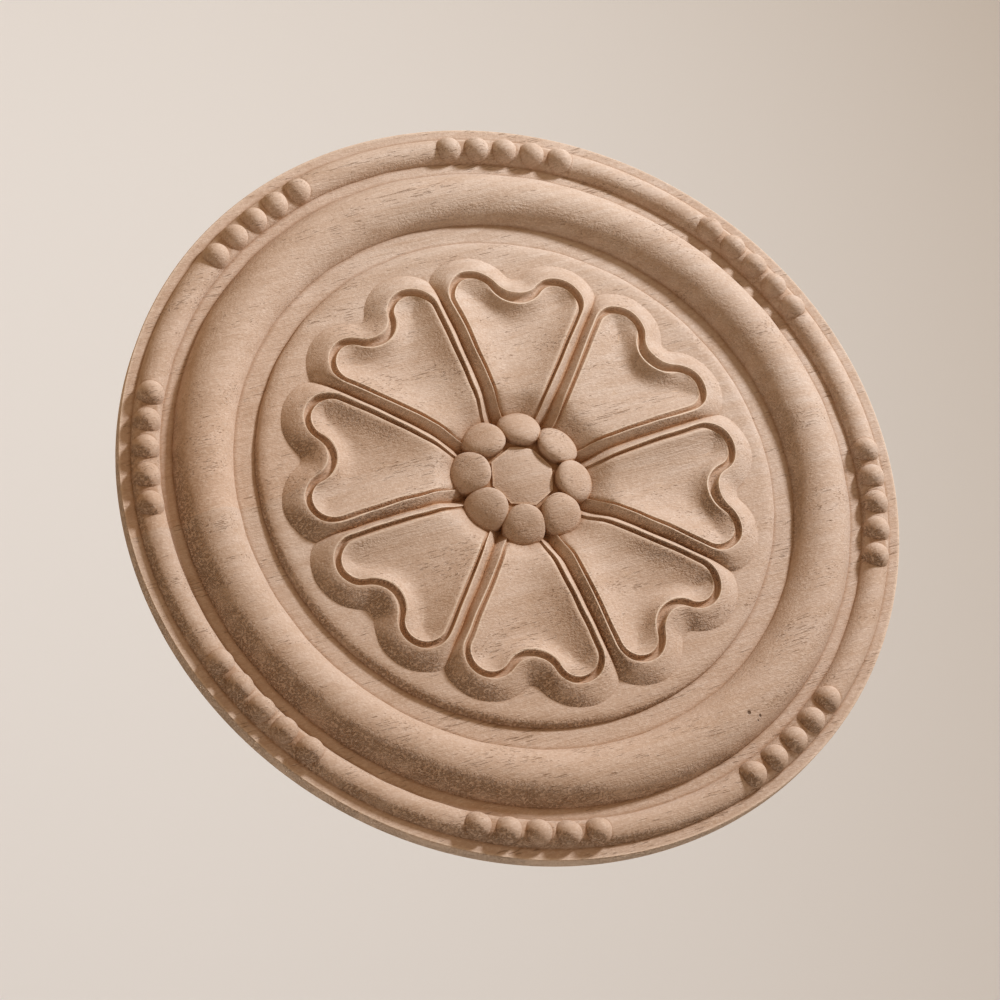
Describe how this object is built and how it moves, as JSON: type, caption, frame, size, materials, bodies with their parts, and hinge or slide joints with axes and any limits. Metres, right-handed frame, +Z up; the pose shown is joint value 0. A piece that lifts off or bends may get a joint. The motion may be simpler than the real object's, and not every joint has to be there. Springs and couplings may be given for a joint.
{
  "type": "carved rosette",
  "caption": "Round carved wooden rosette: pearled bead rim, broad half-round moulding, heart-shaped petals round a ring of balls, flat back",
  "frame": {"origin": "centre of the flat back, in its plane", "axes": "+Z up as on a wall, front faces -Y, +X to the right seen from the front; one petal points straight up"},
  "size_m": [0.25, 0.0126, 0.25],
  "materials": {
    "wood": "matt, raw, sanded"
  },
  "bodies": {
    "root": {"rosette": "wood"}
  },
  "joints": []
}
